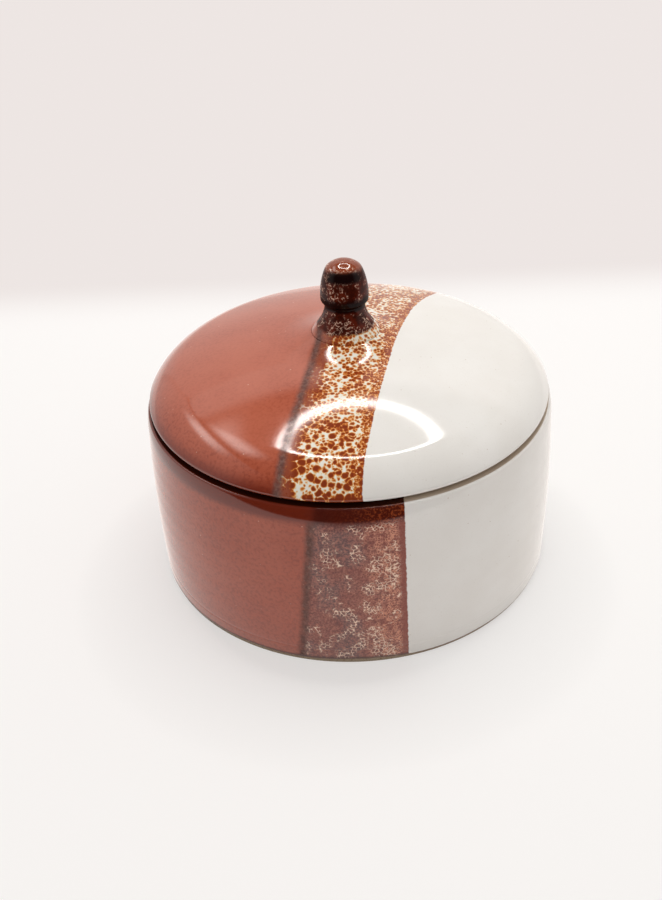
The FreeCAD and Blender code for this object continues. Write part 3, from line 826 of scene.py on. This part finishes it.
def pot_skin(shader):
    place = Place(shader)
    skin = banded(shader, place, pot_break(shader, place), POT_RED_EDGE, POT_WHITE_EDGE)

    # Painted shade: the shoulder under the rim is painted dark, with its flecks, as a painted
    # reflection of the dark room; the rim under the lid is dull, with painted shade on its coloured
    # side
    coloured = place.past(POT_WHITE_EDGE).fall(-0.2, 0.2)
    shoulder_shade = place.z.rise(*SHOULDER_SHADE_RISE) * coloured
    middle = place.past(POT_RED_EDGE).rise(-1, 3)
    shoulder_shade_colour = shader.mix(middle, SHOULDER_SHADE_RED, SHOULDER_SHADE_BROWN)
    fleck = shader.noise(place.point, 0.9, detail=2).rise(0.50, 0.62) * middle
    shoulder_shade_colour = shader.mix(fleck * place.x.rise(-12, 22) * 0.75, shoulder_shade_colour, SHOULDER_FLECK)
    skin = tinted(shader, skin, shoulder_shade * 0.95, shoulder_shade_colour)
    # Painted shade: the rim under the lid goes near black on its coloured side
    rim = place.z.rise(*RIM_RISE) * place.radius.fall(*RIM_OUTSIDE)
    skin = tinted(shader, skin, rim * 0.9, shader.mix(coloured, RIM_PALE, RIM_DARK_AND_SHADE), 0.2)

    inside = place.radius.rise(*INSIDE_MIDDLE) * place.radius.fall(*INSIDE_WALL)
    inside = inside * place.z.rise(*INSIDE_RISE) * place.z.fall(*INSIDE_FALL)
    skin = lay(shader, inside, skin, white_glaze(shader, place))

    # The bare foot, and the dark bead and the toasted line at the end of the glaze
    above = shader.node("ShaderNodeAttribute", {"attribute_name": "above_bare_clay"}, output="Fac")
    edge = above + (shader.noise(place.point, 2.4, detail=2) - 0.5) * 0.7
    skin = lay(shader, edge.fall(0.0, 0.25), skin, bare_clay(shader, place))
    bead = edge.rise(0.1, 0.3) * edge.fall(0.6, 1.5)
    skin = tinted(shader, skin, bead * coloured * 0.85, BEAD_BROWN)
    toasted = edge.fall(0.2, 0.4) * edge.rise(-0.8, -0.2)
    skin = tinted(shader, skin, toasted * 0.7, TOASTED_CLAY, 0.3)
    return shader.glazed(skin)


def lid_skin(shader):
    place = Place(shader)
    skin = banded(shader, place, lid_break(shader, place), LID_RED_EDGE, LID_WHITE_EDGE)
    middle = (0, 0, APEX - CROWN_ROUND)
    from_crown = shader.vector("DISTANCE", place.point, middle, output=1)
    outside = from_crown.rise(CROWN_ROUND - 3, CROWN_ROUND - 2.8)
    outside = outside.over(place.radius.rise(*LID_OUTSIDE))
    skin = lay(shader, 1 - outside, skin, white_glaze(shader, place))
    # Painted shade: the lid's underside at its edge goes near black on its coloured side
    under = place.z.fall(*LID_UNDERSIDE) * place.radius.rise(*LID_UNDER_LIP)
    coloured = place.past(LID_WHITE_EDGE).fall(-0.2, 0.2)
    skin = tinted(shader, skin, under * 0.9, shader.mix(coloured, RIM_PALE, RIM_DARK_AND_SHADE), 0.2)
    seat = place.z.fall(*LID_SEAT) * place.radius.rise(*LID_SEAT_OUTSIDE)
    skin = lay(shader, seat, skin, bare_clay(shader, place))
    return shader.glazed(skin)


def knob_skin(shader):
    place = Place(shader)
    uneven = (shader.noise(place.point, 4, detail=2) - 0.5) * 2.0
    foot = (place.z + uneven).fall(*KNOB_COLLAR_FALL)
    skin = banded(shader, place, lid_break(shader, place), LID_RED_EDGE, LID_WHITE_EDGE)
    skin = lay(shader, 1 - foot, skin, knob_glaze(shader, place))
    return shader.glazed(skin)


def dress(piece, body, node, slot, skin):
    piece.data.materials.append(new_material(slot, skin))
    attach(piece, body)
    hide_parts(node)


# The studio: sizes in metres and angles in degrees
CAMERA_PLACE = (0.0, -0.4459, 0.3545)
CAMERA_LENS = 44.0
CAMERA_PITCH = 34.33
CAMERA_YAW = 1.23
CAMERA_ROLL = 2.95
FLOOR_SIZE = 8.0
BACKGROUND = (0.85, 0.79, 0.77, 1)
LAMP_PLACE = (0.045, 0.32, 1.04)
LAMP_RADIUS = 0.265
LAMP_WIDTH = 0.05
LAMP_LENGTH = 1.20
LAMP_POWER = 20.0
LAMP_SHINE = 26.0
LAMP_COLOUR = (1, 0.98, 0.95, 1)
ROOM_COLOUR = (1, 0.985, 0.97, 1)
ROOM_LIGHT = 0.62
ROOM_MIRRORED = (1, 0.97, 0.95, 1)
ROOM_SHINE = 0.09
TENT_COLOUR = (1, 0.94, 0.90, 1)

# The floor: its cloth, the glare on it near the pot, and what the glaze mirrors of it; then where
# it melts into the background and where the mirrored shade ends, in millimetres behind the pot
CLOTH = (0.82, 0.80, 0.79, 1)
CLOTH_GLARE = (1.12, 1.10, 1.08, 1)
TABLE_SHADE = (0.03, 0.027, 0.026, 1)
TABLE_SHINE = (1.22, 1.14, 1.09, 1)
HORIZON = (215, 310)
TABLE_FRONT = (-222, -208)


def make_camera():
    pitch, yaw, roll = (math.radians(angle) for angle in (CAMERA_PITCH, CAMERA_YAW, CAMERA_ROLL))
    level = Vector((math.cos(yaw), math.sin(yaw), 0))
    ahead = Vector((-math.sin(yaw), math.cos(yaw), 0)) * math.cos(pitch)
    ahead = ahead - Vector((0, 0, math.sin(pitch)))
    above = level.cross(ahead)
    right = level * math.cos(roll) - above * math.sin(roll)
    up = level * math.sin(roll) + above * math.cos(roll)
    data = bpy.data.cameras.new("camera")
    data.lens = CAMERA_LENS
    data.sensor_width = 36.0
    camera = bpy.data.objects.new("camera", data)
    turned = Matrix((right, up, -ahead)).transposed().to_4x4()
    camera.matrix_world = Matrix.Translation(CAMERA_PLACE) @ turned
    bpy.context.scene.collection.objects.link(camera)
    bpy.context.scene.camera = camera


def stage_piece(name, mesh, material):
    data = bpy.data.meshes.new(name)
    mesh.to_mesh(data)
    mesh.free()
    data.materials.append(material)
    piece = bpy.data.objects.new(name, data)
    bpy.context.scene.collection.objects.link(piece)
    return piece


def reflected_only(piece, lights=False):
    piece.visible_camera = False
    piece.visible_shadow = False
    piece.visible_diffuse = lights
    piece.visible_transmission = False


def soft_edged(name, colour, strength, across, along):
    """A glow that fades out over a part of a card: at its two sides, and at its top and foot."""

    def make(shader):
        spot = shader.node("ShaderNodeTexCoord", output="UV")
        x, y = shader.axes(spot, "XY")
        fade = x.rise(0, across) * x.fall(1 - across, 1)
        fade = fade * y.rise(0, along) * y.fall(1 - along, 1)
        clear = shader.node("ShaderNodeBsdfTransparent")
        return shader.blend(fade, clear, shader.emission(colour, strength))

    return new_material(name, make)


def card(name, middle, width, height, facing, material):
    """A flat card that shows only in the glaze's reflections."""
    mesh = bmesh.new()
    mesh.loops.layers.uv.new("card")
    bmesh.ops.create_grid(mesh, x_segments=1, y_segments=1, size=0.5, calc_uvs=True)
    bmesh.ops.scale(mesh, vec=(width, height, 1), verts=mesh.verts[:])
    turned = Vector(facing).to_track_quat("Z", "Y").to_matrix().to_4x4()
    bmesh.ops.transform(mesh, matrix=Matrix.Translation(middle) @ turned, verts=mesh.verts[:])
    reflected_only(stage_piece(name, mesh, material))


def lamp_shader(shader):
    """The lamp shows brighter in the glaze than its light falls."""
    mirrored = shader.node("ShaderNodeLightPath", output="Is Glossy Ray")
    light, shine = (shader.emission(LAMP_COLOUR, power) for power in (LAMP_POWER, LAMP_SHINE))
    return shader.blend(mirrored, light, shine)


def make_ring_lamp():
    mesh = bmesh.new()
    inner = mesh.verts.new((LAMP_RADIUS - LAMP_WIDTH / 2, 0, 0))
    outer = mesh.verts.new((LAMP_RADIUS + LAMP_WIDTH / 2, 0, 0))
    edge = mesh.edges.new((inner, outer))
    bmesh.ops.spin(
        mesh,
        geom=[inner, outer, edge],
        cent=(0, 0, 0),
        axis=(0, 0, 1),
        angle=2 * math.pi,
        steps=64,
        use_merge=True,
    )
    bmesh.ops.scale(mesh, vec=(LAMP_LENGTH, 1, 1), verts=mesh.verts[:])
    bmesh.ops.translate(mesh, vec=LAMP_PLACE, verts=mesh.verts[:])
    piece = stage_piece("ring_lamp", mesh, new_material("ring_lamp", lamp_shader))
    reflected_only(piece, lights=True)


def floor_shader(shader):
    """A pale sheet, paler near the pot; the glaze mirrors it dark where it lies near the camera."""
    place = Place(shader)
    cloth = shader.node("ShaderNodeBsdfDiffuse", None, {"Color": CLOTH})
    far = place.y.rise(*HORIZON)
    glare = shader.emission(shader.mix(far, CLOTH_GLARE, BACKGROUND))
    seen = shader.blend(far * 0.55 + 0.45, cloth, glare)
    mirrored = shader.mix(place.y.rise(*TABLE_FRONT), TABLE_SHADE, TABLE_SHINE)
    return shader.by_ray(cloth, seen, shader.emission(mirrored))


def make_floor():
    mesh = bmesh.new()
    bmesh.ops.create_grid(mesh, x_segments=1, y_segments=1, size=FLOOR_SIZE / 2)
    stage_piece("floor", mesh, new_material("floor", floor_shader))


def make_world():
    world = bpy.data.worlds.new("studio")
    bpy.context.scene.world = world
    shader = Shader(world)
    room, seen, mirrored = (
        shader.node("ShaderNodeBackground", None, {"Color": colour, "Strength": strength})
        for colour, strength in (
            (ROOM_COLOUR, ROOM_LIGHT),
            (BACKGROUND, 1.0),
            (ROOM_MIRRORED, ROOM_SHINE),
        )
    )
    shader.finish(shader.by_ray(room, seen, mirrored), "ShaderNodeOutputWorld")


def make_studio():
    make_camera()
    make_floor()
    make_world()
    make_ring_lamp()

    # The tent's white sides, with a dark seam between them, and two soft bright strips
    back = new_material("tent_back", lambda shader: shader.emission(TENT_COLOUR, 0.9))
    side = soft_edged("tent_side", TENT_COLOUR, 0.85, 0.25, 0.001)
    roof = soft_edged("tent_roof", TENT_COLOUR, 1.2, 0.001, 0.2)
    strip = soft_edged("soft_strip", TENT_COLOUR, 5.2, 0.45, 0.4)
    card("tent_back", (0, 1.2, 0.53), 1.72, 1.06, (0, -1, 0), back)
    card("tent_left", (-0.87, 0.40, 0.51), 2.4, 1.02, (1, 0, 0), side)
    card("tent_right", (0.87, 0.40, 0.51), 2.4, 1.02, (-1, 0, 0), side)
    card("tent_roof", (0, 1.1, 1.06), 1.74, 0.75, (0, 0, -1), roof)
    card("strip_side", (-0.865, 0.33, 0.88), 1.0, 0.36, (1, 0, 0), strip)
    card("strip_roof", (-0.62, 0.30, 1.05), 0.40, 0.95, (0, 0, -1), strip)
    bpy.context.scene.view_settings.view_transform = "Standard"


def main():
    dress(make_pot(), "pot", "pot_body", "pot_glaze", pot_skin)
    dress(make_lid(), "cover", "lid", "lid_glaze", lid_skin)
    dress(make_knob(), "cover", "knob", "knob_glaze", knob_skin)
    make_studio()


main()
